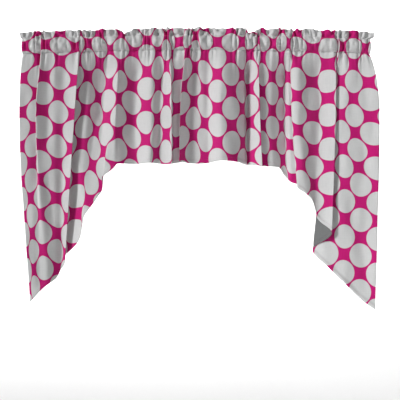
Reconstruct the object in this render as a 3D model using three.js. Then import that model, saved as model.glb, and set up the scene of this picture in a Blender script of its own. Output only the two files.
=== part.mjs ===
// Swag valance: one gathered cloth with a rod pocket, a ruffle above it, a short middle and two long tails.
// Millimetres, +Z up, the printed face towards -Y. The origin is on the rod line, half way along the pocket.
// A depth is counted towards the viewer, so it is minus Y.

import * as THREE from "three";

const CLOTH_THICKNESS = 2;
const SEAM_GAP = 0.3;

// The pocket and the ruffle above it.
const POCKET_HALF_HEIGHT = 24;
const POCKET_HALF_DEPTH = 19;
const RUFFLE_HEIGHT = 22;
const HEADING_LEFT = -592;
const HEADING_RIGHT = 575;
const SEAM_HALF_DEPTH = 2;
// Under 1, the pocket's cross-section is fuller than an ellipse near its seams.
const BULGE_FULLNESS = 0.8;

// The heading sinks a little towards its two ends.
const BOW = 14;
const BOW_REACH = 590;

// The height, below the rod line, at which the table's "half way" columns hold.
const MIDDLE_DROP = 226;

// How much of a fold's depth is there at the stitches, and how far below them it is all there.
const DEPTH_AT_STITCHES = 0.15;
const FOLD_OPENING_DROP = 80;

// One row for each bend of the cloth, from its left edge to its right edge.
// cloth: distance from the left edge, measured along the cloth
// top, middle, hem: place across the width at the stitches, half way down and at the hem
// depth, hemDepth: place towards the viewer, half way down and at the hem
// drop: how far the hem hangs below the rod line
// overlap: where the cloth turns behind itself on the way to the next row, how far it goes back
const BEND_COLUMNS = ["cloth", "top", "middle", "hem", "depth", "hemDepth", "drop", "overlap"];
const BENDS = [
  // left tail: outer edge, first fold, flat panel
  [0, -590, -596, -559, -4, 6, 857, 0],
  [32, -560, -566, -543, -6, 4, 839, 0],
  [62, -526, -542, -527, -12, 0, 821, 0],
  [96, -522, -539, -505, 6, -4, 801, 0],
  [137, -493, -503, -485, -10, -14, 787, 0],
  [157, -477, -485, -476, -8, -20, 779, 0],
  [197, -443, -453, -463, -16, -28, 752, 0],
  // second fold, tucked behind the flat panel
  [243, -398, -413, -448, -2, -20, 729, -12],
  [302, -392, -413, -447, -26, -40, 702, 0],
  [350, -365, -378, -397, -24, -14, 646, 0],
  [398, -337, -345, -383, -44, -4, 576, 0],
  [438, -308, -326, -340, -46, -8, 512, 0],
  [468, -293, -305, -322, -28, -10, 479, 0],
  [488, -280, -290, -323, -16, -10, 446, 0],
  [504, -267, -277, -287, -6, -6, 416, 0],
  // middle: left half
  [519, -260, -272, -272, -12, -12, 399, 0],
  [586, -210, -220, -218, -40, -38, 400, 0],
  [655, -157, -160, -165, -6, -6, 397, 0],
  [708, -127, -132, -137, -24, -24, 399, 0],
  [742, -112, -115, -117, -18, -18, 401, 0],
  [785, -95, -93, -92, -2, -2, 401, -4],
  [846, -82, -87, -87, -13, -13, 399, 0],
  [872, -55, -66, -69, -21, -21, 396, 8],
  [904, -48, -64, -67, -4, -4, 391, 0],
  [964, -18, -28, -30, -36, -34, 398, 0],
  // middle: right half
  [1026, 10, 12, 10, -30, -36, 399, 0],
  [1047, 25, 25, 25, -32, -34, 397, 0],
  [1109, 72, 73, 75, 4, 2, 390, 0],
  [1170, 120, 123, 127, -14, -18, 394, 0],
  [1209, 143, 145, 148, -36, -38, 401, 0],
  [1244, 155, 157, 160, -58, -58, 402, 0],
  [1268, 170, 169, 172, -42, -42, 403, 0],
  [1309, 193, 199, 207, -6, -6, 407, -8],
  [1364, 202, 203, 212, -20, -20, 408, 0],
  [1422, 235, 233, 240, -22, -24, 409, 0],
  [1458, 255, 257, 263, -34, -36, 411, 0],
  // right tail: inner folds
  [1490, 270, 273, 282, -46, -42, 437, 0],
  [1521, 284, 285, 294, -56, -42, 450, 0],
  [1552, 295, 300, 307, -34, -24, 462, 6],
  [1576, 302, 305, 323, -20, -10, 477, 0],
  [1607, 323, 325, 345, -4, -4, 494, 0],
  [1651, 360, 363, 370, -20, -14, 517, 0],
  [1684, 393, 398, 383, -32, -22, 552, 0],
  [1697, 400, 405, 390, -30, -22, 579, 0],
  // the wide tuck of the right tail, which turns back behind the folds before it, then the outer panel
  [1751, 452, 450, 437, -8, -2, 629, 0],
  [1810, 456, 425, 378, -36, -42, 687, 0],
  [1867, 460, 453, 430, -20, -24, 746, 0],
  [1927, 493, 493, 483, -8, -14, 799, 0],
  [1984, 537, 540, 540, -8, -16, 854, 0],
  [2031, 572, 593, 581, 4, -6, 884, 0],
].map((row) => Object.fromEntries(BEND_COLUMNS.map((column, index) => [column, row[index]])));

// Grid of the panel.
const PANEL_COLUMN_STEP = 19;
const PANEL_LEVELS = 11;
const PANEL_LEVEL_CROWDING = 1.4;

// Grid and waves of the heading.
const HEADING_COLUMN_STEP = 12;
const WALL_STEPS = 6;
const PUCKER_DEPTH = 2.6;
const PUCKER_PITCHES = [39, 61];
const RUFFLE_SWAY = 6;
const RUFFLE_PITCHES = [58, 97];
const RUFFLE_UNEVEN = 2.5;
const RUFFLE_DIPS = [
  { x: -243, halfWidth: 20, drop: 15 },
  { x: 170, halfWidth: 16, drop: 15 },
];
const RUFFLE_STEPS = 2;

const bowAt = (x) => -BOW * (x / BOW_REACH) ** 2;
const clamp = THREE.MathUtils.clamp;
const smoothstep = (x) => THREE.MathUtils.smoothstep(x, 0, 1);

// Adds the hidden turn of each tuck as a bend of its own, half way to the next row and as deep as the deeper one.
function bendsWithTucks() {
  const bends = [];
  BENDS.forEach((bend, index) => {
    bends.push(bend);
    if (bend.overlap === 0) return;
    const next = BENDS[index + 1];
    const turn = {};
    for (const column of BEND_COLUMNS) turn[column] = (bend[column] + next[column]) / 2;
    const farthest = bend.overlap < 0 ? Math.min : Math.max;
    turn.middle = farthest(bend.middle, next.middle) + bend.overlap;
    turn.hem = farthest(bend.hem, next.hem) + bend.overlap;
    turn.depth = Math.min(bend.depth, next.depth);
    turn.hemDepth = Math.min(bend.hemDepth, next.hemDepth);
    bends.push(turn);
  });
  return bends;
}

// A cubic through the knots that never swings past them.
function smoothThrough(knots, values, at) {
  const last = knots.length - 1;
  let span = 0;
  while (span < last - 1 && at > knots[span + 1]) span += 1;
  const slopeOf = (index) => (values[index + 1] - values[index]) / (knots[index + 1] - knots[index]);
  const tangentAt = (index) => {
    if (index === 0) return slopeOf(0);
    if (index === last) return slopeOf(last - 1);
    const before = slopeOf(index - 1);
    const after = slopeOf(index);
    if (before * after <= 0) return 0;
    return (2 * before * after) / (before + after);
  };
  const width = knots[span + 1] - knots[span];
  const t = clamp((at - knots[span]) / width, 0, 1);
  const startTangent = tangentAt(span) * width;
  const endTangent = tangentAt(span + 1) * width;
  const rise = values[span + 1] - values[span];
  const square = t * t;
  const cube = square * t;
  return values[span] + startTangent * (cube - 2 * square + t) + rise * (3 * square - 2 * cube)
    + endTangent * (cube - square);
}

const ALL_BENDS = bendsWithTucks();
const CLOTH_KNOTS = ALL_BENDS.map((bend) => bend.cloth);
const TOP_KNOTS = ALL_BENDS.map((bend) => bend.top);
const stitchHeight = (x) => bowAt(x) - POCKET_HALF_HEIGHT;
const across = (values, cloth) => smoothThrough(CLOTH_KNOTS, values, cloth);
const dropAt = (cloth) => across(ALL_BENDS.map((bend) => bend.drop), cloth);

// Where a bend lies at a height: a smooth line through its places at the stitches, half way down and at the hem.
function bendAt(bend, z) {
  const top = stitchHeight(bend.top);
  const x = smoothThrough([-top, MIDDLE_DROP, bend.drop], [bend.top, bend.middle, bend.hem], -z);
  const opening = DEPTH_AT_STITCHES + (1 - DEPTH_AT_STITCHES) * smoothstep((top - z) / FOLD_OPENING_DROP);
  const towardsHem = clamp((-z - MIDDLE_DROP) / (bend.drop - MIDDLE_DROP), 0, 1);
  const depth = opening * THREE.MathUtils.lerp(bend.depth, bend.hemDepth, towardsHem);
  return { x, depth };
}

// The middle of the cloth's thickness, as { x, depth }, at a distance along the cloth and a height.
function clothAt(cloth, z) {
  const places = ALL_BENDS.map((bend) => bendAt(bend, z));
  return {
    x: across(places.map((place) => place.x), cloth),
    depth: across(places.map((place) => place.depth), cloth),
  };
}

function meshFrom(name, colour, positions, indices) {
  const geometry = new THREE.BufferGeometry();
  geometry.setAttribute("position", new THREE.Float32BufferAttribute(positions, 3));
  geometry.setIndex(indices);
  geometry.computeVertexNormals();
  const material = new THREE.MeshStandardMaterial({ color: colour, roughness: 0.85, metalness: 0 });
  const mesh = new THREE.Mesh(geometry, material);
  mesh.name = name;
  return mesh;
}

// Columns of the panel: every bend, with even steps between.
function panelColumns() {
  const columns = [0];
  for (let index = 1; index < CLOTH_KNOTS.length; index += 1) {
    const start = CLOTH_KNOTS[index - 1];
    const width = CLOTH_KNOTS[index] - start;
    const steps = Math.max(1, Math.round(width / PANEL_COLUMN_STEP));
    for (let step = 1; step <= steps; step += 1) columns.push(start + (width * step) / steps);
  }
  return columns;
}

// The two faces of the cloth at one point, half its thickness to either side.
function facePoints(cloth, z) {
  const reach = 1.5;
  const here = clothAt(cloth, z);
  const before = clothAt(Math.max(cloth - reach, 0), z);
  const after = clothAt(Math.min(cloth + reach, CLOTH_KNOTS.at(-1)), z);
  const alongX = after.x - before.x;
  const alongDepth = after.depth - before.depth;
  const half = CLOTH_THICKNESS / 2 / Math.hypot(alongX, alongDepth);
  const offsetX = -alongDepth * half;
  const offsetDepth = alongX * half;
  return {
    front: [here.x + offsetX, -(here.depth + offsetDepth), z],
    back: [here.x - offsetX, -(here.depth - offsetDepth), z],
  };
}

function swagPanel() {
  const columns = panelColumns();
  const front = [];
  const back = [];
  for (const cloth of columns) {
    const seamX = across(TOP_KNOTS, cloth);
    const top = stitchHeight(seamX) - SEAM_GAP;
    const length = top + dropAt(cloth);
    for (let level = 0; level <= PANEL_LEVELS; level += 1) {
      const z = top - length * (level / PANEL_LEVELS) ** PANEL_LEVEL_CROWDING;
      const faces = facePoints(cloth, z);
      front.push(faces.front);
      back.push(faces.back);
    }
  }
  const rows = PANEL_LEVELS + 1;
  const backStart = front.length;
  const indices = [];
  const quad = (a, b, c, d) => indices.push(a, b, c, a, c, d);
  for (let column = 0; column + 1 < columns.length; column += 1) {
    for (let level = 0; level < PANEL_LEVELS; level += 1) {
      const corner = column * rows + level;
      quad(corner, corner + 1, corner + rows + 1, corner + rows);
      quad(backStart + corner, backStart + corner + rows, backStart + corner + rows + 1, backStart + corner + 1);
    }
    const topEdge = column * rows;
    const hemEdge = topEdge + PANEL_LEVELS;
    quad(topEdge, topEdge + rows, backStart + topEdge + rows, backStart + topEdge);
    quad(hemEdge, backStart + hemEdge, backStart + hemEdge + rows, hemEdge + rows);
  }
  const lastColumn = (columns.length - 1) * rows;
  for (let level = 0; level < PANEL_LEVELS; level += 1) {
    quad(level, backStart + level, backStart + level + 1, level + 1);
    const edge = lastColumn + level;
    quad(edge, edge + 1, backStart + edge + 1, backStart + edge);
  }
  return meshFrom("swag_panel", 0xb81460, [...front, ...back].flat(), indices);
}

// Depth of the seam under the pocket, which the panel's top edge follows.
function seamDepth(x) {
  const depths = ALL_BENDS.map((bend) => bend.depth * DEPTH_AT_STITCHES);
  return smoothThrough(TOP_KNOTS, depths, x);
}

// The pocket hangs straight on the rod, and only below it leans over to the seam.
const pocketCentre = (x, height) => seamDepth(x) * clamp(-height / POCKET_HALF_HEIGHT, 0, 1);

const wave = (x, pitches) => pitches.reduce((sum, pitch) => sum + Math.sin((2 * Math.PI * x) / pitch), 0) / 2;

function ruffleTop(x) {
  let height = RUFFLE_HEIGHT + RUFFLE_UNEVEN * wave(x + RUFFLE_SWAY, RUFFLE_PITCHES);
  for (const dip of RUFFLE_DIPS) height -= dip.drop * Math.exp(-(((x - dip.x) / dip.halfWidth) ** 2));
  return height;
}

// Outline of the heading across the rod, at one place along it, from the lower seam round by the front.
function headingOutline(x) {
  const pucker = PUCKER_DEPTH * wave(x, PUCKER_PITCHES);
  const sway = RUFFLE_SWAY * wave(x, RUFFLE_PITCHES);
  const point = (depth, height) => [x, -(pocketCentre(x, height) + depth), bowAt(x) + height];
  const wall = (side) => {
    const points = [];
    for (let step = 0; step <= WALL_STEPS; step += 1) {
      const angle = Math.PI * (step / WALL_STEPS - 0.5);
      const bulge = Math.cos(angle) ** BULGE_FULLNESS * (POCKET_HALF_DEPTH - SEAM_HALF_DEPTH + side * pucker);
      points.push(point(side * (SEAM_HALF_DEPTH + bulge), POCKET_HALF_HEIGHT * Math.sin(angle)));
    }
    return points;
  };
  const ruffle = (side) => {
    const points = [];
    for (let step = 1; step <= RUFFLE_STEPS; step += 1) {
      const rise = step / RUFFLE_STEPS;
      points.push(point(sway * rise + side * SEAM_HALF_DEPTH, POCKET_HALF_HEIGHT + ruffleTop(x) * rise));
    }
    return points;
  };
  return [...wall(1), ...ruffle(1), ...ruffle(-1).reverse(), ...wall(-1).reverse()];
}

// Outline of the empty pocket inside, from the lower seam round by the front.
function pocketOutline(x) {
  const pucker = PUCKER_DEPTH * wave(x, PUCKER_PITCHES);
  const halfHeight = POCKET_HALF_HEIGHT - CLOTH_THICKNESS;
  const points = [];
  for (let step = 0; step < 2 * WALL_STEPS; step += 1) {
    const angle = Math.PI * (step / WALL_STEPS - 0.5);
    const side = step <= WALL_STEPS ? 1 : -1;
    const halfDepth = POCKET_HALF_DEPTH - CLOTH_THICKNESS + side * pucker;
    const depth = side * Math.abs(Math.cos(angle)) ** BULGE_FULLNESS * halfDepth;
    const height = halfHeight * Math.sin(angle);
    points.push([x, -(pocketCentre(x, height) + depth), bowAt(x) + height]);
  }
  return points;
}

function heading() {
  const steps = Math.round((HEADING_RIGHT - HEADING_LEFT) / HEADING_COLUMN_STEP);
  const outer = [];
  const inner = [];
  for (let step = 0; step <= steps; step += 1) {
    const x = THREE.MathUtils.lerp(HEADING_LEFT, HEADING_RIGHT, step / steps);
    outer.push(...headingOutline(x));
    inner.push(...pocketOutline(x));
  }
  const outerCount = outer.length / (steps + 1);
  const innerCount = inner.length / (steps + 1);
  const innerStart = outer.length;
  const indices = [];
  const triangle = (a, b, c) => indices.push(a, b, c);
  for (let step = 0; step < steps; step += 1) {
    for (let index = 0; index < outerCount; index += 1) {
      const next = (index + 1) % outerCount;
      const [a, b] = [step * outerCount + index, step * outerCount + next];
      triangle(a, a + outerCount, b + outerCount);
      triangle(a, b + outerCount, b);
    }
    for (let index = 0; index < innerCount; index += 1) {
      const next = (index + 1) % innerCount;
      const [a, b] = [innerStart + step * innerCount + index, innerStart + step * innerCount + next];
      triangle(a, b + innerCount, a + innerCount);
      triangle(a, b, b + innerCount);
    }
  }
  // Each open end is a ring between the outline and the pocket. The ruffle's points all meet the pocket's top.
  const pocketPoint = (index) => {
    if (index <= WALL_STEPS) return index;
    return Math.max(WALL_STEPS, index - 2 * RUFFLE_STEPS - 1) % innerCount;
  };
  for (const [column, turned] of [[0, false], [steps, true]]) {
    const outerEnd = column * outerCount;
    const innerEnd = innerStart + column * innerCount;
    const face = (a, b, c) => (turned ? triangle(a, c, b) : triangle(a, b, c));
    for (let index = 0; index < outerCount; index += 1) {
      const next = (index + 1) % outerCount;
      const [near, far] = [innerEnd + pocketPoint(index), innerEnd + pocketPoint(next)];
      face(outerEnd + index, outerEnd + next, near);
      if (near !== far) face(outerEnd + next, far, near);
    }
  }
  return meshFrom("heading", 0xc41868, [...outer, ...inner].flat(), indices);
}

const valance = new THREE.Group();
valance.add(swagPanel(), heading());

export default valance;
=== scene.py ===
"""The looks of a gathered swag valance: its printed cloth, heading, sewing and the studio it hangs in.

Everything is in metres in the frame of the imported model: the origin on the rod line, +Z up, and the printed
face towards -Y. The tables are in millimetres, as a valance is cut. A depth is counted towards the viewer.
"""

import math

import bmesh
import bpy
import numpy as np
from bpy.props import FloatProperty, FloatVectorProperty, PointerProperty
from mathutils import Matrix, Vector


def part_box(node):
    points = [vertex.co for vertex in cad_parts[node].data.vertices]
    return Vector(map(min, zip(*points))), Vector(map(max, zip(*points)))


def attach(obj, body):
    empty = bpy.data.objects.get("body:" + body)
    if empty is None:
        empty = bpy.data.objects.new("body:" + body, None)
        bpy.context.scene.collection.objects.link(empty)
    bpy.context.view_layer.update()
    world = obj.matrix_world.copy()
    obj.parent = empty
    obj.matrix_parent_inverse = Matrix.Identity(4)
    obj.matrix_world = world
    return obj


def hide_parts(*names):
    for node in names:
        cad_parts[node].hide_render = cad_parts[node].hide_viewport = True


bl_info = {
    "name": "Swag Valance",
    "version": (1, 0, 0),
    "blender": (4, 5, 0),
    "location": "View3D > Sidebar > Valance",
    "description": "Dresses a gathered swag valance with its printed cloth, heading, sewing and studio",
    "category": "Object",
}

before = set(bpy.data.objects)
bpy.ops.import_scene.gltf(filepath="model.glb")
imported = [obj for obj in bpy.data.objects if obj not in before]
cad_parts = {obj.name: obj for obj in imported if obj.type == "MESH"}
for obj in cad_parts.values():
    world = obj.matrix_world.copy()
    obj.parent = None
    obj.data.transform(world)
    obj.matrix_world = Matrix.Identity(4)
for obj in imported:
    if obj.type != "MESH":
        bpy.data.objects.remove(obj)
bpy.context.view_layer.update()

MM = 0.001

# The pocket and the ruffle above it, as the solids have them.
POCKET_HALF_HEIGHT = 24
POCKET_HALF_DEPTH = 19
RUFFLE_HEIGHT = 22
HEADING_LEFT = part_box("heading")[0][0] / MM
HEADING_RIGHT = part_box("heading")[1][0] / MM
BOW = 14
BOW_REACH = 590
MIDDLE_DROP = 226
DEPTH_AT_STITCHES = 0.15
FOLD_OPENING_DROP = 80

# One row for each bend of the cloth, from its left edge to its right edge.
# cloth: distance from the left edge, measured along the cloth
# top, middle, hem: place across the width at the stitches, half way down and at the hem
# depth, hem_depth: place towards the viewer, half way down and at the hem
# drop: how far the hem hangs below the rod line
# overlap: where the cloth turns behind itself on the way to the next row, how far it goes back
BEND_COLUMNS = ("cloth", "top", "middle", "hem", "depth", "hem_depth", "drop", "overlap")
BENDS = (
    # left tail: outer edge, first fold, flat panel
    (0, -590, -596, -559, -4, 6, 857, 0),
    (32, -560, -566, -543, -6, 4, 839, 0),
    (62, -526, -542, -527, -12, 0, 821, 0),
    (96, -522, -539, -505, 6, -4, 801, 0),
    (137, -493, -503, -485, -10, -14, 787, 0),
    (157, -477, -485, -476, -8, -20, 779, 0),
    (197, -443, -453, -463, -16, -28, 752, 0),
    # second fold, tucked behind the flat panel
    (243, -398, -413, -448, -2, -20, 729, -12),
    (302, -392, -413, -447, -26, -40, 702, 0),
    (350, -365, -378, -397, -24, -14, 646, 0),
    (398, -337, -345, -383, -44, -4, 576, 0),
    (438, -308, -326, -340, -46, -8, 512, 0),
    (468, -293, -305, -322, -28, -10, 479, 0),
    (488, -280, -290, -323, -16, -10, 446, 0),
    (504, -267, -277, -287, -6, -6, 416, 0),
    # middle: left half
    (519, -260, -272, -272, -12, -12, 399, 0),
    (586, -210, -220, -218, -40, -38, 400, 0),
    (655, -157, -160, -165, -6, -6, 397, 0),
    (708, -127, -132, -137, -24, -24, 399, 0),
    (742, -112, -115, -117, -18, -18, 401, 0),
    (785, -95, -93, -92, -2, -2, 401, -4),
    (846, -82, -87, -87, -13, -13, 399, 0),
    (872, -55, -66, -69, -21, -21, 396, 8),
    (904, -48, -64, -67, -4, -4, 391, 0),
    (964, -18, -28, -30, -36, -34, 398, 0),
    # middle: right half
    (1026, 10, 12, 10, -30, -36, 399, 0),
    (1047, 25, 25, 25, -32, -34, 397, 0),
    (1109, 72, 73, 75, 4, 2, 390, 0),
    (1170, 120, 123, 127, -14, -18, 394, 0),
    (1209, 143, 145, 148, -36, -38, 401, 0),
    (1244, 155, 157, 160, -58, -58, 402, 0),
    (1268, 170, 169, 172, -42, -42, 403, 0),
    (1309, 193, 199, 207, -6, -6, 407, -8),
    (1364, 202, 203, 212, -20, -20, 408, 0),
    (1422, 235, 233, 240, -22, -24, 409, 0),
    (1458, 255, 257, 263, -34, -36, 411, 0),
    # right tail: inner folds
    (1490, 270, 273, 282, -46, -42, 437, 0),
    (1521, 284, 285, 294, -56, -42, 450, 0),
    (1552, 295, 300, 307, -34, -24, 462, 6),
    (1576, 302, 305, 323, -20, -10, 477, 0),
    (1607, 323, 325, 345, -4, -4, 494, 0),
    (1651, 360, 363, 370, -20, -14, 517, 0),
    (1684, 393, 398, 383, -32, -22, 552, 0),
    (1697, 400, 405, 390, -30, -22, 579, 0),
    # the wide tuck of the right tail, which turns back behind the folds before it, then the outer panel
    (1751, 452, 450, 437, -8, -2, 629, 0),
    (1810, 456, 425, 378, -36, -42, 687, 0),
    (1867, 460, 453, 430, -20, -24, 746, 0),
    (1927, 493, 493, 483, -8, -14, 799, 0),
    (1984, 537, 540, 540, -8, -16, 854, 0),
    (2031, 572, 593, 581, 4, -6, 884, 0),
)

# How far the cloth was drawn down at the stitches when it was gathered, by distance along it.
DRAWN_DOWN = (
    (0, -4), (90, -13), (180, -7), (222, 1), (340, -19), (464, 4), (532, -3), (585, 10), (640, 18), (684, 5),
    (750, -4), (848, 21), (893, 9), (984, -10), (1028, 4), (1106, 12), (1155, 9), (1206, 6), (1285, -10),
    (1365, -2), (1440, 3), (1500, -7), (1607, 5), (1660, 9), (1740, 1), (1900, -6), (2031, -6),
)
# How much the weight of the tails stretches the cloth, which grows with the square of its length.
STRETCH = 0.00005
# How far the lower part of the cloth has slipped sideways in its folds, by distance along it.
SLIPPED_ASIDE = (
    (0, 0), (40, 38), (84, 36), (120, 25), (165, 8), (205, 0), (280, 15), (325, 24), (360, 8), (400, 0),
    (1607, 0), (1680, -12), (1810, -28), (2031, -30),
)
SLIP_START = 150
SLIP_REACH = 350

# How far the pocket's ends lie inside those of the ruffle, and over what length they are pulled in.
PULLED_LEFT = 7
PULLED_RIGHT = 13
PULL_REACH = 60

# How far from the middle of a seam each wall lies, as a share of the cloth's thickness.
SEAM_SHARE = 0.9
# How far below the stitches the heading's unevenness fades out of the panel.
SEAM_FADING = 26
FRONT_WALL_FADING = 10
PULL_FADING = 30
GATHER_FADING = 34

# The gathers and the creases of the heading.
GATHER_PITCH = 29
GATHER_MEAN = 0.6
SEAM_PITCHES = (21, 34)
RUFFLE_PITCHES = (47, 25)
RUFFLE_FULL_SWAY = 1.5
RUFFLE_LEAN = 9
RUFFLE_LEAN_PITCH = 139
CREASE_DEPTH_SHARE = 0.55
RUFFLE_CREASE_DEPTH = 4.5
RUFFLE_OPENING = 2.24
RUFFLE_OPENING_PITCH = 37
RUFFLE_OPENING_SHIFT = 11
EDGE_CURL = 1.2
GATHER_DRAG = 2.2
POCKET_CLEARANCE = 3
POCKET_CROWN = 1.7
# The steep creases, and those that slant: size, slant, pitch, shift, and the pitch and shift of their fading.
STEEP_CREASE = (1.4, 21, 0.2)
STEEP_LEAN = (0.55, 173)
SLANTING_CREASES = ((2.2, 0.9, 34, 0.1, 127, 0.3), (2.2, -0.8, 43, 0.6, 91, 0.0))
# The creases that fan out from each gather, and how far each leans sideways on its way from the stitches.
CREASE_PITCH = 31
CREASE_HALF_WIDTH = 2.6
CREASE_REACH = 17
FAN_SLANTS = (-0.85, 0, 0.75)
FAN_LEAN = 0.3
FAN_WIDENING = 0.1
FAN_SAMPLES = 1200
# The waves of the ruffle's top edge: size, pitch and shift.
RUFFLE_WAVES = ((1.8, 62, 0.1), (1.3, 28, 0.0))
RUFFLE_BROAD_PITCH = 113
# The notches in the ruffle's top edge: where each lies, how wide half of it is and how deep it is.
RUFFLE_NOTCHES = ((-243, 20, 14), (170, 16, 14))

# Where the wide tuck is sewn into the heading. It hides one repeat of the print.
WIDE_TUCK_LEFT = 452
WIDE_TUCK_RIGHT = 460

# Grids of the two cloth pieces.
PANEL_COLUMNS = 540
PANEL_LEVELS = 84
PANEL_LEVEL_CROWDING = 1.35
HEM_LEVELS = 3
HEADING_COLUMNS = 740
POCKET_STEPS = 12
RUFFLE_STEPS = 7
FOLD_OVER_STEPS = 4

# How much of the valance's plane fills the image, and where the camera stands.
VIEW_WIDTH = 1.32
CAMERA_DISTANCE = 3.0
CAMERA_X = 0.001
CAMERA_Z = -0.52
SENSOR_WIDTH = 36.0


def bends_with_tucks():
    """The bends by column, with the hidden turn of each tuck as a bend of its own."""
    rows = []
    for bend, following in zip(BENDS, BENDS[1:] + (None,)):
        row = dict(zip(BEND_COLUMNS, bend))
        rows.append(row)
        if not row["overlap"]:
            continue
        after = dict(zip(BEND_COLUMNS, following))
        turn = {column: (row[column] + after[column]) / 2 for column in BEND_COLUMNS}
        farthest = min if row["overlap"] < 0 else max
        turn["middle"] = farthest(row["middle"], after["middle"]) + row["overlap"]
        turn["hem"] = farthest(row["hem"], after["hem"]) + row["overlap"]
        turn["depth"] = min(row["depth"], after["depth"])
        turn["hem_depth"] = min(row["hem_depth"], after["hem_depth"])
        rows.append(turn)
    return {column: np.array([row[column] for row in rows], float) for column in BEND_COLUMNS}


BEND = bends_with_tucks()
CLOTH_WIDTH = BEND["cloth"][-1]


def smooth_through(knots, values, at):
    """A cubic through the knots that never swings past them, for a whole array of points at once."""
    at = np.asarray(at, float)
    shape = at.shape + (np.shape(knots)[-1],)
    knots = np.broadcast_to(knots, shape)
    values = np.broadcast_to(values, shape)
    widths = np.diff(knots)
    slopes = np.diff(values) / widths
    before = slopes[..., :-1]
    after = slopes[..., 1:]
    steady = before * after > 0
    inner = np.where(steady, 2 * before * after / np.where(steady, before + after, 1), 0)
    tangents = np.concatenate([slopes[..., :1], inner, slopes[..., -1:]], axis=-1)
    span = np.sum(at[..., None] > knots[..., 1:-1], axis=-1)[..., None]

    def pick(array, step=0):
        return np.take_along_axis(array, span + step, axis=-1)[..., 0]

    width = pick(widths)
    t = np.clip((at - pick(knots)) / width, 0, 1)
    rise = pick(values, 1) - pick(values)
    start = pick(tangents) * width
    end = pick(tangents, 1) * width
    return pick(values) + start * (t**3 - 2 * t**2 + t) + rise * (3 * t**2 - 2 * t**3) + end * (t**3 - t**2)


def smoothstep(x):
    x = np.clip(x, 0, 1)
    return x * x * (3 - 2 * x)


def bow(x):
    return -BOW * (x / BOW_REACH) ** 2


def stitch_height(x):
    return bow(x) - POCKET_HALF_HEIGHT


def across(column, cloth):
    return smooth_through(BEND["cloth"], BEND[column], cloth)


def place_of_cloth(cloth, height):
    """Where the cloth hangs, as (x, depth), at distances along it and heights."""
    tops = stitch_height(BEND["top"])
    knots = np.stack([-tops, np.full_like(tops, MIDDLE_DROP), BEND["drop"]], axis=-1)
    values = np.stack([BEND["top"], BEND["middle"], BEND["hem"]], axis=-1)
    below = np.broadcast_to(-height[..., None], height.shape + tops.shape)
    xs = smooth_through(knots, values, below)
    opening = DEPTH_AT_STITCHES + (1 - DEPTH_AT_STITCHES) * smoothstep((tops + below) / FOLD_OPENING_DROP)
    towards_hem = np.clip((below - MIDDLE_DROP) / (BEND["drop"] - MIDDLE_DROP), 0, 1)
    depths = opening * (BEND["depth"] + (BEND["hem_depth"] - BEND["depth"]) * towards_hem)
    return smooth_through(BEND["cloth"], xs, cloth), smooth_through(BEND["cloth"], depths, cloth)


def seam_depth(x):
    return smooth_through(BEND["top"], BEND["depth"] * DEPTH_AT_STITCHES, x)


def seam_half_depth(sizes):
    """How far a wall of the heading lies from the middle of the seam, in millimetres."""
    return sizes.cloth_thickness / MM * SEAM_SHARE


def wave(x, pitch, shift=0.0):
    return np.sin(2 * np.pi * (x / pitch + shift))


# How far the gathers drift from an even pitch: size, in gathers, pitch and shift of each wave.
UNEVENNESS = ((0.42, 173, 0.1), (0.3, 71, 0.45), (0.16, 37, 0.8))


def uneven(x, pitch):
    """A place along the gathers, counted in gathers, whose width drifts so that no two are alike."""
    return x / pitch + sum(size * wave(x, length, shift) for size, length, shift in UNEVENNESS)


def puffs(x, pitch):
    """Full rounds between sharp grooves, from 0 in a groove to 1."""
    return np.abs(np.sin(np.pi * uneven(x, pitch))) ** 0.75


FINE_CLOTH = np.linspace(0, CLOTH_WIDTH, 4000)
FINE_SEAM = across("top", FINE_CLOTH)
FULLNESS_REACH = 24
FULLNESS_RANGE = (1.15, 2.1)


def cloth_at_seam(x):
    """The distance along the cloth that is sewn down at a place along the rod."""
    return np.interp(x, FINE_SEAM, FINE_CLOTH)


def gather_size(x):
    """How deep the gathers must be, for their pitch, to hold the cloth that is drawn up along the rod."""
    left = np.maximum(x - FULLNESS_REACH, FINE_SEAM[0])
    right = np.minimum(x + FULLNESS_REACH, FINE_SEAM[-1])
    fullness = (cloth_at_seam(right) - cloth_at_seam(left)) / (right - left)
    return np.sqrt(np.clip(fullness, *FULLNESS_RANGE) ** 2 - 1) / 2


def seam_wave(x, sizes):
    """How far the pinched seams go in and out of the rod line, in millimetres."""
    short, long = SEAM_PITCHES
    fine = short * wave(uneven(x, short), 1) + 0.5 * long * wave(uneven(x, long), 1, 0.3)
    return sizes.seam_wave * gather_size(x) * fine / 1.5


def gathers(x, sizes):
    """How far each gather stands out of the cloth or lies back in it, in millimetres."""
    return (puffs(x, GATHER_PITCH) - GATHER_MEAN) * gather_size(x) * GATHER_PITCH * sizes.gather_depth


class Socket:
    """A number in a material, on which Python's operators add the Math nodes."""

    def __init__(self, nodes, output):
        self.nodes = nodes
        self.output = output

    def math(self, operation, *others):
        inputs = dict(enumerate((self.output,) + others))
        return self.nodes.add("ShaderNodeMath", {"operation": operation}, inputs)

    def __add__(self, other):
        return self.math("ADD", other)

    __radd__ = __add__

    def __sub__(self, other):
        return self.math("SUBTRACT", other)

    def __rsub__(self, other):
        return self.nodes.add("ShaderNodeMath", {"operation": "SUBTRACT"}, {0: other, 1: self.output})

    def __mul__(self, other):
        return self.math("MULTIPLY", other)

    __rmul__ = __mul__

    def __truediv__(self, other):
        return self.math("DIVIDE", other)

    def fraction(self):
        return self.math("FRACT")

    def sine(self):
        return self.math("SINE")

    def root(self):
        return self.math("SQRT")

    def least(self, other):
        return self.math("MINIMUM", other)

    def clamped(self):
        return self.nodes.add("ShaderNodeClamp", {}, {"Value": self.output})


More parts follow.
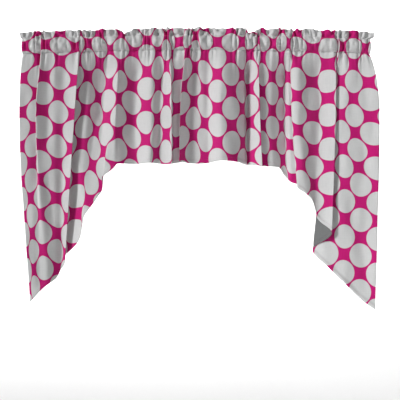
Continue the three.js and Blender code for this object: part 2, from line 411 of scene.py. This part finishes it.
class NodeTree:
    """The nodes of a material or of the world, which are all added by one method."""

    def __init__(self, owner):
        owner.use_nodes = True
        self.tree = owner.node_tree

    def add(self, kind, settings, inputs, output=0):
        node = self.tree.nodes.new(kind)
        for name, value in settings.items():
            setattr(node, name, value)
        for name, value in inputs.items():
            self.connect(node.inputs[name], value)
        return Socket(self, node.outputs[output])

    def connect(self, socket, value):
        if isinstance(value, Socket):
            value = value.output
        if isinstance(value, bpy.types.NodeSocket):
            self.tree.links.new(value, socket)
        else:
            socket.default_value = value


class Material(NodeTree):
    """A material that starts with one principled shader."""

    def __init__(self, name):
        self.material = bpy.data.materials.new(name)
        super().__init__(self.material)
        self.shader = self.tree.nodes["Principled BSDF"]

    def finish(self, **sockets):
        for name, value in sockets.items():
            self.connect(self.shader.inputs[name.replace("_", " ")], value)
        return self.material

    def mix(self, factor, first, second):
        """One colour turning into another. A Mix node's colours are its inputs 6 and 7 and its output 2."""
        return self.add("ShaderNodeMix", {"data_type": "RGBA"}, {0: factor, 6: first, 7: second}, 2)

    def cloth_places(self):
        """Metres along and down the flat cloth."""
        flat = self.add("ShaderNodeUVMap", {"uv_map": "cloth"}, {}).output
        along = self.add("ShaderNodeSeparateXYZ", {}, {0: flat}, "X")
        down = self.add("ShaderNodeSeparateXYZ", {}, {0: flat}, "Y")
        return flat, along, down


def opaque(colour, share=1.0):
    """A colour with its alpha, darkened to a share of itself."""
    return tuple(share * channel for channel in colour) + (1.0,)


def distance_to_dots(along, down, across_pitch, down_pitch):
    """Distance to the nearest dot of a rectangular grid."""
    sideways = ((along / across_pitch + 0.5).fraction() - 0.5) * across_pitch
    upright = ((down / down_pitch + 0.5).fraction() - 0.5) * down_pitch
    return (sideways * sideways + upright * upright).root()


# How many uneven threads there are to a metre, across and along the warp and the weft.
WARP_SCALE = (260.0, 34.0, 1.0)
WEFT_SCALE = (30.0, 300.0, 1.0)
WEAVE_SHARE = 0.35
RELIEF_SHARE = 0.4


def add_weave(material, along, down, flat, sizes):
    """Relief of a plain weave with uneven threads, and how far each place is from the even colour: the colour
    is darker where the same noise sets the relief low, partly the uneven yarn and partly painted shade in the
    weave's hollows.
    """
    turn = 2 * math.pi / sizes.thread_pitch
    weave = (along * turn).sine() * (down * turn).sine()
    stretched = material.add("ShaderNodeMapping", {}, {"Vector": flat, "Scale": WARP_SCALE})
    crossing = material.add("ShaderNodeMapping", {}, {"Vector": flat, "Scale": WEFT_SCALE})
    warp = material.add("ShaderNodeTexNoise", {}, {"Vector": stretched, "Scale": 1.0, "Detail": 3.0})
    weft = material.add("ShaderNodeTexNoise", {}, {"Vector": crossing, "Scale": 1.0, "Detail": 3.0})
    slub = (warp + weft) * 0.5
    relief = weave * WEAVE_SHARE + slub
    distance = sizes.thread_pitch * RELIEF_SHARE
    bump = material.add("ShaderNodeBump", {}, {"Strength": 0.35, "Distance": distance, "Height": relief})
    return slub, bump


def printed_cloth(sizes, colours):
    """Light dots on magenta, each second column half a step lower."""
    material = Material("dotted_print")
    flat, along, down = material.cloth_places()
    step = sizes.dot_column_step
    pitch = sizes.dot_pitch
    leaning = down - along * sizes.print_lean
    even = distance_to_dots(along - sizes.print_start, leaning - sizes.print_drop, 2 * step, pitch)
    odd = distance_to_dots(
        along - (sizes.print_start + step), leaning - (sizes.print_drop + pitch / 2), 2 * step, pitch
    )
    inside = sizes.dot_diameter / 2 - even.least(odd)
    dots = (inside / (2 * sizes.print_edge) + 0.5).clamped()
    slub, bump = add_weave(material, along, down, flat, sizes)
    # The ground and the dots turn darker where the weave's relief lies low: uneven yarn, and painted shade in
    # the weave's hollows.
    ground = material.mix(slub, opaque(colours.ground_weave_shade), opaque(colours.ground))
    dot_colour = material.mix(slub, opaque(colours.dot_shade), opaque(colours.dot))
    colour = material.mix(dots, ground, dot_colour)
    return material.finish(
        Base_Color=colour, Roughness=0.82, Normal=bump, Sheen_Weight=0.12, Sheen_Roughness=0.5,
        Specular_IOR_Level=0.25,
    )


def reverse_in_painted_shade(sizes, colours):
    """The unprinted back. Its cloth is a pale grey, darkened here to paint the shade it lies in where it
    shows between the folds.
    """
    material = Material("reverse_in_painted_shade")
    flat, along, down = material.cloth_places()
    slub, bump = add_weave(material, along, down, flat, sizes)
    # A pale back given a dark grey as painted shade, darker still where the weave's relief lies low.
    colour = material.mix(slub, opaque(colours.reverse_shade), opaque(colours.reverse))
    return material.finish(Base_Color=colour, Roughness=0.88, Normal=bump, Specular_IOR_Level=0.2)


THREAD_SHADE = 0.7


def sewing_thread(colours):
    """Matt thread with a fine twist."""
    material = Material("sewing_thread")
    place = material.add("ShaderNodeTexCoord", {}, {}, "Object")
    twist = material.add("ShaderNodeTexNoise", {}, {"Vector": place, "Scale": 900.0, "Detail": 2.0})
    colour = material.mix(twist, opaque(colours.thread, THREAD_SHADE), opaque(colours.thread))
    bump = material.add("ShaderNodeBump", {}, {"Strength": 0.5, "Distance": 0.0002, "Height": twist})
    return material.finish(Base_Color=colour, Roughness=0.7, Normal=bump)


def link(name, mesh, materials):
    """A new piece that rides on the valance's one body."""
    for material in materials:
        mesh.materials.append(material)
    piece = bpy.data.objects.new(name, mesh)
    bpy.context.scene.collection.objects.link(piece)
    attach(piece, "root")
    return piece


def sheet_mesh(name, places, flat_places):
    """A sheet over a grid of places, [line][column] = (x, y, z), with its flat pattern as a map in metres."""
    lines, columns = places.shape[:2]
    mesh_maker = bmesh.new()
    bmesh.ops.create_grid(mesh_maker, x_segments=columns - 1, y_segments=lines - 1, size=0.5)
    mesh_maker.verts.index_update()
    pattern = mesh_maker.loops.layers.uv.new("cloth")
    spots = {}
    for vertex in mesh_maker.verts:
        column = round((vertex.co.x + 0.5) * (columns - 1))
        line = round((0.5 - vertex.co.y) * (lines - 1))
        spots[vertex.index] = (line, column)
        vertex.co = places[line, column]
    for face in mesh_maker.faces:
        face.smooth = True
        for loop in face.loops:
            loop[pattern].uv = flat_places[spots[loop.vert.index]]
    mesh = bpy.data.meshes.new(name)
    mesh_maker.to_mesh(mesh)
    mesh_maker.free()
    return mesh


def give_thickness(piece, thickness):
    """Thickens a sheet to both sides. The faces on its back take the reverse."""
    solidify = piece.modifiers.new("cloth thickness", "SOLIDIFY")
    solidify.thickness = thickness
    solidify.offset = 0
    solidify.material_offset = 1
    solidify.material_offset_rim = 0
    solidify.use_even_offset = False


def raised(places, offsets):
    """The grid of places moved by offsets along the sheet's normals, which point to the printed side."""
    along = np.gradient(places, axis=1)
    down = np.gradient(places, axis=0)
    normals = np.cross(down, along)
    normals /= np.maximum(np.linalg.norm(normals, axis=-1, keepdims=True), 1e-12)
    return places + normals * offsets[..., None]


def from_table(table, at):
    knots, values = np.array(table, float).T
    return smooth_through(knots, values, at)


def flat_place(cloth, below):
    """Metres along and down the flat cloth, which the weight of the tails stretches a little."""
    slipped = from_table(SLIPPED_ASIDE, cloth) * smoothstep((below - SLIP_START) / SLIP_REACH)
    down = below - STRETCH * np.maximum(below, 0) ** 2 - from_table(DRAWN_DOWN, cloth)
    return np.stack(np.broadcast_arrays(cloth + slipped, down), axis=-1) * MM


# The soft waves of the hanging cloth: size, pitch and shift across it, and pitch and shift down it.
SLACK_WAVES = ((1.8, 83, 0.2, 310, 0.1), (0.9, 47, 0.0, 190, 0.4))
SLACK_START = 120


def slack(x, below):
    """Soft unevenness of the hanging cloth. It moves all the layers of a tuck alike, so that none goes
    through another."""
    total = 0
    for size, pitch, shift, pitch_down, shift_down in SLACK_WAVES:
        total = total + size * wave(x, pitch, shift) * wave(below, pitch_down, shift_down)
    return total * smoothstep(below / SLACK_START)


def panel_levels(lengths, sizes):
    """How far each grid level lies below the stitches, with the last few on the hem."""
    hem = sizes.hem_width / MM
    share = np.linspace(0, 1, PANEL_LEVELS - HEM_LEVELS) ** PANEL_LEVEL_CROWDING
    body = share[:, None] * (lengths - hem - 1)
    ends = np.stack([lengths - hem, lengths - hem / 2, lengths])
    return np.concatenate([body, ends])


def panel_grid(sizes):
    """Places and flat places of the panel's cloth, from the lower stitches to the hem."""
    cloth = np.linspace(0, CLOTH_WIDTH, PANEL_COLUMNS + 1)
    seam_x = across("top", cloth)
    tops = stitch_height(seam_x)
    below = panel_levels(tops + across("drop", cloth), sizes)
    seam = seam_wave(seam_x, sizes)
    places = np.zeros(below.shape + (3,))
    for line, down in enumerate(below):
        height = tops - down
        x, depth = place_of_cloth(cloth, height)
        depth = depth + seam * np.exp(-down / SEAM_FADING)
        depth = depth + seam_half_depth(sizes) * np.exp(-down / FRONT_WALL_FADING)
        depth = depth + slack(x, down)
        pulled = ends_pulled_in(seam_x) * np.exp(-down / PULL_FADING)
        places[line] = np.stack([x + pulled, -depth, height], axis=-1)
    fading = np.exp(-((below / GATHER_FADING) ** 1.2)) * smoothstep(below / 6)
    places[:, :, 1] -= gathers(seam_x, sizes) * fading
    on_hem = below > below[-HEM_LEVELS - 1] + 0.5
    hem_rise = np.where(on_hem, sizes.hem_rise / MM, 0)
    return raised(places, hem_rise) * MM, flat_place(cloth, below)


def heading_section():
    """The way round the heading from the lower seam up the front, over the ruffle and down the back.

    Each point has its side, its share of the pocket's bulge, its share of the ruffle's rise and its height.
    """
    rows = []
    for step in range(POCKET_STEPS + 1):
        angle = math.pi * (step / POCKET_STEPS - 0.5)
        rows.append((1, max(math.cos(angle), 0) ** POCKET_CROWN, 0, math.sin(angle)))
    for step in range(1, RUFFLE_STEPS + 1):
        rows.append((1, 0, step / RUFFLE_STEPS, 1))
    over = []
    for step in range(1, FOLD_OVER_STEPS):
        over.append((math.cos(math.pi * step / FOLD_OVER_STEPS), 0, 1, 1))
    back = [(-side, bulge, rise, height) for side, bulge, rise, height in reversed(rows)]
    return np.array(rows + over + back)


def ruffle_top(x):
    """Height of the ruffle above the upper stitches."""
    height = RUFFLE_HEIGHT + wave(x, RUFFLE_BROAD_PITCH)
    for size, pitch, shift in RUFFLE_WAVES:
        height = height + size * wave(uneven(x, pitch), 1, shift)
    for centre, half_width, drop in RUFFLE_NOTCHES:
        height = height - drop * np.exp(-(((x - centre) / half_width) ** 2))
    return height


def ends_pulled_in(x):
    """How far the two ends of the pocket lie inside the ends of its ruffle."""
    right = PULLED_RIGHT * smoothstep((x - HEADING_RIGHT + PULL_REACH) / PULL_REACH)
    left = PULLED_LEFT * smoothstep((HEADING_LEFT + PULL_REACH - x) / PULL_REACH)
    return left - right


def fanned_creases(x, height):
    """Sharp grooves that fan out from each pinched gather along the upper stitches, 1 at their deepest."""
    away = np.abs(height - POCKET_HALF_HEIGHT)
    line = np.linspace(HEADING_LEFT, HEADING_RIGHT, FAN_SAMPLES)
    counts = uneven(line, CREASE_PITCH)
    total = np.zeros(np.broadcast(x, height).shape)
    for knot in range(math.ceil(counts[0]), math.floor(counts[-1])):
        centre = np.interp(knot, counts, line)
        lean = FAN_LEAN * math.sin(2.4 * knot)
        strength = 0.7 + 0.3 * math.sin(1.7 * knot)
        for slant in FAN_SLANTS:
            aside = (x - centre - (lean + slant) * away) / (CREASE_HALF_WIDTH + FAN_WIDENING * away)
            total += strength * np.exp(-(aside**2)) * np.exp(-away / CREASE_REACH)
    return np.minimum(total, 1)


def crumples(x, height):
    """Short slanting creases that the gathering leaves near the stitches."""
    steepness, steepness_pitch = STEEP_LEAN
    lean = steepness * wave(x, steepness_pitch)
    size, pitch, shift = STEEP_CREASE
    total = size * wave(uneven(x + lean * height, pitch), 1, shift)
    for size, slant, pitch, shift, fading_pitch, fading_shift in SLANTING_CREASES:
        total = total + size * wave(x + slant * height, pitch, shift) * wave(x, fading_pitch, fading_shift)
    return total


def ruffle_depth(x, leaning, rise, sizes):
    """How far the ruffle as a whole goes in and out above the pinched seam."""
    long, short = RUFFLE_PITCHES
    sway = long * wave(uneven(leaning, long), 1, 0.2) + 0.8 * short * wave(uneven(leaning, short), 1)
    sway = sizes.ruffle_sway * sway / RUFFLE_FULL_SWAY
    return (seam_wave(x, sizes) * (1 - rise) + sway * gather_size(x) * rise) * np.minimum(rise * 4, 1)


def heading_depth(x, section, sizes):
    """How far each place of the heading's cloth lies towards the viewer."""
    side, bulge, rise, height = section
    heights = POCKET_HALF_HEIGHT * height + RUFFLE_HEIGHT * rise
    creased = crumples(x, heights) * (0.55 + 0.6 * gather_size(x))
    grooves = fanned_creases(x, heights)
    up_ruffle = 4 * rise * (1 - 0.75 * rise)
    near_seams = 0.25 + 3 * bulge * (1 - bulge)
    leaning = x + RUFFLE_LEAN * wave(x, RUFFLE_LEAN_PITCH) * rise
    seam_half = seam_half_depth(sizes)
    gap = RUFFLE_OPENING * puffs(leaning + RUFFLE_OPENING_SHIFT, RUFFLE_OPENING_PITCH) * up_ruffle
    crown = POCKET_HALF_DEPTH - seam_half - POCKET_CLEARANCE + 1.5 * gathers(x, sizes)
    walls = seam_half * (1 + 1.2 * rise) + gap + creased * near_seams
    walls = walls + bulge * crown * (1 - CREASE_DEPTH_SHARE * grooves)
    both_walls = seam_depth(x) * np.clip(-height, 0, 1) + seam_wave(x, sizes) * (1 - bulge) * (1 - rise)
    both_walls = both_walls + ruffle_depth(x, leaning, rise, sizes)
    both_walls = both_walls + (creased - RUFFLE_CREASE_DEPTH * grooves) * up_ruffle
    return both_walls + side * walls


def heading_grid(sizes):
    """Places and flat places of the heading's cloth."""
    x = np.linspace(HEADING_LEFT, HEADING_RIGHT, HEADING_COLUMNS + 1)
    section = [column[:, None] for column in heading_section().T]
    side, bulge, rise, height = section
    depth = heading_depth(x, section, sizes)
    edge_curl = EDGE_CURL * np.sqrt(np.clip(1 - side**2, 0, 1)) * rise
    z = bow(x) + POCKET_HALF_HEIGHT * height + ruffle_top(x) * rise + edge_curl
    drag = GATHER_DRAG * wave(uneven(x, GATHER_PITCH), 1, 0.25) * gather_size(x) * bulge
    pulled = ends_pulled_in(x) * (1 - smoothstep(3 * rise))
    places = np.stack([x + drag + pulled, -depth, z], axis=-1)
    steps = np.linalg.norm(np.diff(places[:, :, 1:], axis=0), axis=-1).mean(axis=1)
    up = np.concatenate([[0], np.cumsum(steps)])
    flat = flat_place(cloth_at_seam(x), -up[:, None])
    hidden = smoothstep((x - WIDE_TUCK_LEFT) / (WIDE_TUCK_RIGHT - WIDE_TUCK_LEFT))
    flat[..., 0] -= hidden * 2 * sizes.dot_column_step
    return places[::-1] * MM, flat[::-1]


# How far a stitch stands in front of the cloth's middle, as a share of its thickness.
STITCH_PROUD_SHARE = 0.6
# Half a stitch's length, as a share of the stitch pitch.
STITCH_HALF_SHARE = 0.42


def stitch_run(name, starts, ends, thickness, material):
    """Small rounded stitches from each start to each end."""
    mesh_maker = bmesh.new()
    for start, end in zip(starts, ends):
        direction = Vector(end - start)
        turn = direction.to_track_quat("Z", "Y").to_matrix().to_4x4()
        size = Matrix.Diagonal((thickness / 2, thickness / 2, direction.length * STITCH_HALF_SHARE, 1))
        matrix = Matrix.Translation(Vector((start + end) / 2)) @ turn @ size
        bmesh.ops.create_uvsphere(mesh_maker, u_segments=6, v_segments=4, radius=1, matrix=matrix)
    for face in mesh_maker.faces:
        face.smooth = True
    mesh = bpy.data.meshes.new(name)
    mesh_maker.to_mesh(mesh)
    mesh_maker.free()
    return link(name, mesh, [material])


def evenly_along(path, pitch):
    """Points at even steps along a line of points."""
    lengths = np.linalg.norm(np.diff(path, axis=0), axis=1)
    run = np.concatenate([[0], np.cumsum(lengths)])
    at = np.arange(pitch, run[-1] - pitch, pitch)
    return np.stack([np.interp(at, run, path[:, axis]) for axis in range(3)], axis=-1)


def sew_along(name, path, sizes, thread):
    """Stitches along a line of points on the cloth, standing a little proud of its front."""
    proud = np.array([0, -sizes.cloth_thickness * STITCH_PROUD_SHARE, 0])
    points = evenly_along(path + proud, sizes.stitch_pitch)
    stitch_run(name, points[:-1], points[1:], sizes.stitch_thickness, thread)


class ValanceSizes(bpy.types.PropertyGroup):
    cloth_thickness: FloatProperty(
        name="Cloth thickness", description="Thickness of the printed cloth", default=0.0011, unit="LENGTH"
    )
    gather_depth: FloatProperty(
        name="Gather depth", description="Depth of the pocket's gathers, as a share of their full depth",
        default=0.5
    )
    seam_wave: FloatProperty(
        name="Seam wave", description="How far the seams go in and out, as a share of their full depth",
        default=0.3
    )
    ruffle_sway: FloatProperty(
        name="Ruffle sway", description="How far the ruffle sways, as a share of its full depth", default=0.3
    )
    hem_width: FloatProperty(
        name="Hem width", description="Width of the turned hem", default=0.012, unit="LENGTH"
    )
    hem_rise: FloatProperty(
        name="Hem rise", description="How far the turned hem stands up", default=0.0006, unit="LENGTH"
    )
    stitch_pitch: FloatProperty(
        name="Stitch pitch", description="Distance from stitch to stitch", default=0.0034, unit="LENGTH"
    )
    stitch_thickness: FloatProperty(
        name="Stitch thickness", description="Thickness of the sewing thread", default=0.0003, unit="LENGTH"
    )
    thread_pitch: FloatProperty(
        name="Thread pitch", description="Width of two threads of the weave", default=0.0012, unit="LENGTH"
    )
    dot_diameter: FloatProperty(
        name="Dot diameter", description="Diameter of a printed dot", default=0.0746, unit="LENGTH"
    )
    dot_column_step: FloatProperty(
        name="Dot column step", description="Distance from column to column of dots",
        default=0.0571, unit="LENGTH"
    )
    dot_pitch: FloatProperty(
        name="Dot pitch", description="Distance from dot to dot down a column", default=0.1106, unit="LENGTH"
    )
    print_start: FloatProperty(
        name="Print start", description="Where the first column of dots lies", default=0.0056, unit="LENGTH"
    )
    print_drop: FloatProperty(
        name="Print drop", description="How far the first dot lies below the stitches",
        default=0.029, unit="LENGTH"
    )
    print_lean: FloatProperty(
        name="Print lean", description="How much the rows of dots sink to the right", default=0.036
    )
    print_edge: FloatProperty(
        name="Print edge", description="Softness of a dot's edge", default=0.0006, unit="LENGTH"
    )


def colour_property(name, description, default):
    return FloatVectorProperty(
        name=name, description=description, subtype="COLOR", size=3, min=0.0, max=1.0, default=default
    )


class ValanceColours(bpy.types.PropertyGroup):
    ground: colour_property("Ground", "Magenta of the print", (0.64, 0.006, 0.205))
    # The deeper magenta is painted shade between the threads, laid where the uneven yarn sets the weave low.
    ground_weave_shade: colour_property("Deep ground", "Magenta between the threads", (0.46, 0.002, 0.13))
    dot: colour_property("Dots", "Light grey of the dots", (0.71, 0.715, 0.715))
    dot_shade: colour_property("Dot shade", "Grey between the threads of a dot", (0.57, 0.575, 0.575))
    # The back's grey is painted shade: the real back is a pale grey, darkened to how it looks in the shadow
    # of the folds.
    reverse: colour_property("Reverse", "Grey of the unprinted back", (0.2, 0.205, 0.205))
    reverse_shade: colour_property("Reverse shade", "Grey between the back's threads", (0.15, 0.155, 0.155))
    thread: colour_property("Thread", "Colour of the sewing thread", (0.6, 0.18, 0.32))
    studio: colour_property("Studio", "Pale floor and backdrop", (0.88, 0.88, 0.88))


class VALANCE_OT_panel(bpy.types.Operator):
    """Hang the panel of printed cloth in its folds"""

    bl_idname = "valance.panel"
    bl_label = "Hang the Panel"

    def execute(self, context):
        sizes = context.scene.valance_sizes
        places, flat = panel_grid(sizes)
        materials = [bpy.data.materials["dotted_print"], bpy.data.materials["reverse_in_painted_shade"]]
        piece = link("panel_cloth", sheet_mesh("panel_cloth", places, flat), materials)
        give_thickness(piece, sizes.cloth_thickness)
        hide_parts("swag_panel")
        return {"FINISHED"}


class VALANCE_OT_heading(bpy.types.Operator):
    """Gather the rod pocket and its ruffle"""

    bl_idname = "valance.heading"
    bl_label = "Gather the Heading"

    def execute(self, context):
        sizes = context.scene.valance_sizes
        places, flat = heading_grid(sizes)
        materials = [bpy.data.materials["dotted_print"], bpy.data.materials["reverse_in_painted_shade"]]
        piece = link("heading_cloth", sheet_mesh("heading_cloth", places, flat), materials)
        give_thickness(piece, sizes.cloth_thickness)
        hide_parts("heading")
        return {"FINISHED"}


class VALANCE_OT_stitching(bpy.types.Operator):
    """Sew the two seams of the pocket and the hem"""

    bl_idname = "valance.stitching"
    bl_label = "Sew the Stitches"

    def execute(self, context):
        sizes = context.scene.valance_sizes
        thread = bpy.data.materials["sewing_thread"]
        heading, _ = heading_grid(sizes)
        panel, _ = panel_grid(sizes)
        sew_along("stitches_lower", heading[-2], sizes, thread)
        sew_along("stitches_upper", heading[-1 - POCKET_STEPS], sizes, thread)
        sew_along("stitches_hem", panel[-HEM_LEVELS], sizes, thread)
        return {"FINISHED"}


class VALANCE_OT_stage(bpy.types.Operator):
    """Set up the pale studio, its lights and the camera"""

    bl_idname = "valance.stage"
    bl_label = "Set Up the Studio"

    def execute(self, context):
        add_backdrop(context.scene.valance_colours)
        add_lights(context.scene)
        add_camera(context.scene)
        return {"FINISHED"}


PAPER_SHADE = 0.98
FLOOR_HEIGHT = -1.22
BACKDROP_DISTANCE = 4.6
BACKDROP_RADIUS = 0.9
BACKDROP_TOP = 3.2
STUDIO_HALF_WIDTH = 5.0
FLOOR_FRONT = -5.0


def add_backdrop(colours):
    """A floor that curves up into a wall, far behind the valance."""
    material = Material("studio_paper")
    place = material.add("ShaderNodeTexCoord", {}, {}, "Object")
    grain = material.add("ShaderNodeTexNoise", {}, {"Vector": place, "Scale": 60.0, "Detail": 2.0})
    colour = material.mix(grain, opaque(colours.studio, PAPER_SHADE), opaque(colours.studio))
    paper = material.finish(Base_Color=colour, Roughness=0.9)
    centre_y = BACKDROP_DISTANCE - BACKDROP_RADIUS
    profile = [(FLOOR_FRONT, FLOOR_HEIGHT)]
    for step in range(17):
        angle = math.pi / 2 * step / 16
        y = centre_y + BACKDROP_RADIUS * math.sin(angle)
        z = FLOOR_HEIGHT + BACKDROP_RADIUS * (1 - math.cos(angle))
        profile.append((y, z))
    profile.append((BACKDROP_DISTANCE, BACKDROP_TOP))
    mesh_maker = bmesh.new()
    line = [mesh_maker.verts.new((-STUDIO_HALF_WIDTH, y, z)) for y, z in profile]
    edges = [mesh_maker.edges.new(pair) for pair in zip(line, line[1:])]
    swept = bmesh.ops.extrude_edge_only(mesh_maker, edges=edges)["geom"]
    moved = [item for item in swept if isinstance(item, bmesh.types.BMVert)]
    bmesh.ops.translate(mesh_maker, verts=moved, vec=(2 * STUDIO_HALF_WIDTH, 0, 0))
    for face in mesh_maker.faces:
        face.smooth = True
    mesh = bpy.data.meshes.new("studio_backdrop")
    mesh_maker.to_mesh(mesh)
    mesh_maker.free()
    mesh.materials.append(paper)
    backdrop = bpy.data.objects.new("studio_backdrop", mesh)
    bpy.context.scene.collection.objects.link(backdrop)


# The key light stands far off to the left, so that it lights the whole width alike.
KEY_DIRECTION = Vector((-0.82, -0.51, 0.33))
KEY_STRENGTH = 2.55
KEY_SOFTNESS = 0.22
# The soft light from all round, and how pale the empty space looks behind the valance.
WORLD_STRENGTH = 0.1
PALE_STRENGTH = 0.8
# Name, place, power in watts, and the two sides of each soft light.
LIGHT_COLUMNS = ("name", "place", "power", "size")
LIGHTS = (
    ("fill_light", (1.9, -2.6, 0.2), 11, (1.2, 1.2)),
    ("back_light", (-1.5, 2.7, 0.9), 13, (1.5, 1.5)),
    ("backdrop_light", (0.0, 3.1, 2.6), 230, (4.0, 1.0)),
)
LIGHT_TARGET = Vector((0.0, 0.0, -0.4))
BACKDROP_TARGET = Vector((0.0, 4.6, -0.8))


def add_lights(scene):
    sun = bpy.data.lights.new("key_light", "SUN")
    sun.energy = KEY_STRENGTH
    sun.angle = KEY_SOFTNESS
    key = bpy.data.objects.new("key_light", sun)
    key.rotation_euler = (-KEY_DIRECTION).to_track_quat("-Z", "Y").to_euler()
    scene.collection.objects.link(key)
    for row in LIGHTS:
        light = dict(zip(LIGHT_COLUMNS, row))
        data = bpy.data.lights.new(light["name"], "AREA")
        data.shape = "RECTANGLE"
        data.size, data.size_y = light["size"]
        data.energy = light["power"]
        lamp = bpy.data.objects.new(light["name"], data)
        lamp.visible_camera = False
        lamp.location = light["place"]
        target = BACKDROP_TARGET if light["name"] == "backdrop_light" else LIGHT_TARGET
        lamp.rotation_euler = (target - lamp.location).to_track_quat("-Z", "Y").to_euler()
        scene.collection.objects.link(lamp)
    world = bpy.data.worlds.new("studio_world")
    nodes = NodeTree(world)
    white = opaque((1.0, 1.0, 1.0))
    lit = nodes.add("ShaderNodeBackground", {}, {"Color": white, "Strength": WORLD_STRENGTH})
    pale = nodes.add("ShaderNodeBackground", {}, {"Color": white, "Strength": PALE_STRENGTH})
    seen = nodes.add("ShaderNodeLightPath", {}, {}, "Is Camera Ray")
    sky = nodes.add("ShaderNodeMixShader", {}, {0: seen, 1: lit, 2: pale})
    nodes.connect(nodes.tree.nodes["World Output"].inputs["Surface"], sky)
    scene.world = world


def add_camera(scene):
    data = bpy.data.cameras.new("camera")
    data.sensor_fit = "HORIZONTAL"
    data.sensor_width = SENSOR_WIDTH
    data.lens = SENSOR_WIDTH * CAMERA_DISTANCE / VIEW_WIDTH
    camera = bpy.data.objects.new("camera", data)
    camera.location = (CAMERA_X, -CAMERA_DISTANCE, CAMERA_Z)
    camera.rotation_euler = (math.pi / 2, 0, 0)
    scene.collection.objects.link(camera)
    scene.camera = camera


class VALANCE_PT_sidebar(bpy.types.Panel):
    bl_idname = "VALANCE_PT_sidebar"
    bl_label = "Swag Valance"
    bl_space_type = "VIEW_3D"
    bl_region_type = "UI"
    bl_category = "Valance"

    def draw(self, context):
        for group in (context.scene.valance_sizes, context.scene.valance_colours):
            box = self.layout.box()
            for name in group.bl_rna.properties.keys():
                if name not in {"rna_type", "name"}:
                    box.prop(group, name)
        for operator in OPERATORS:
            self.layout.operator(operator.bl_idname)


OPERATORS = (VALANCE_OT_heading, VALANCE_OT_panel, VALANCE_OT_stitching, VALANCE_OT_stage)
CLASSES = (ValanceSizes, ValanceColours) + OPERATORS + (VALANCE_PT_sidebar,)


def register():
    for item in CLASSES:
        bpy.utils.register_class(item)
    bpy.types.Scene.valance_sizes = PointerProperty(type=ValanceSizes)
    bpy.types.Scene.valance_colours = PointerProperty(type=ValanceColours)


def unregister():
    del bpy.types.Scene.valance_colours
    del bpy.types.Scene.valance_sizes
    for item in reversed(CLASSES):
        bpy.utils.unregister_class(item)


def make_materials(scene):
    printed_cloth(scene.valance_sizes, scene.valance_colours)
    reverse_in_painted_shade(scene.valance_sizes, scene.valance_colours)
    sewing_thread(scene.valance_colours)


def main():
    register()
    bpy.context.scene.view_settings.view_transform = "Standard"
    make_materials(bpy.context.scene)
    bpy.ops.valance.heading()
    bpy.ops.valance.panel()
    bpy.ops.valance.stitching()
    bpy.ops.valance.stage()


if __name__ == "__main__":
    main()
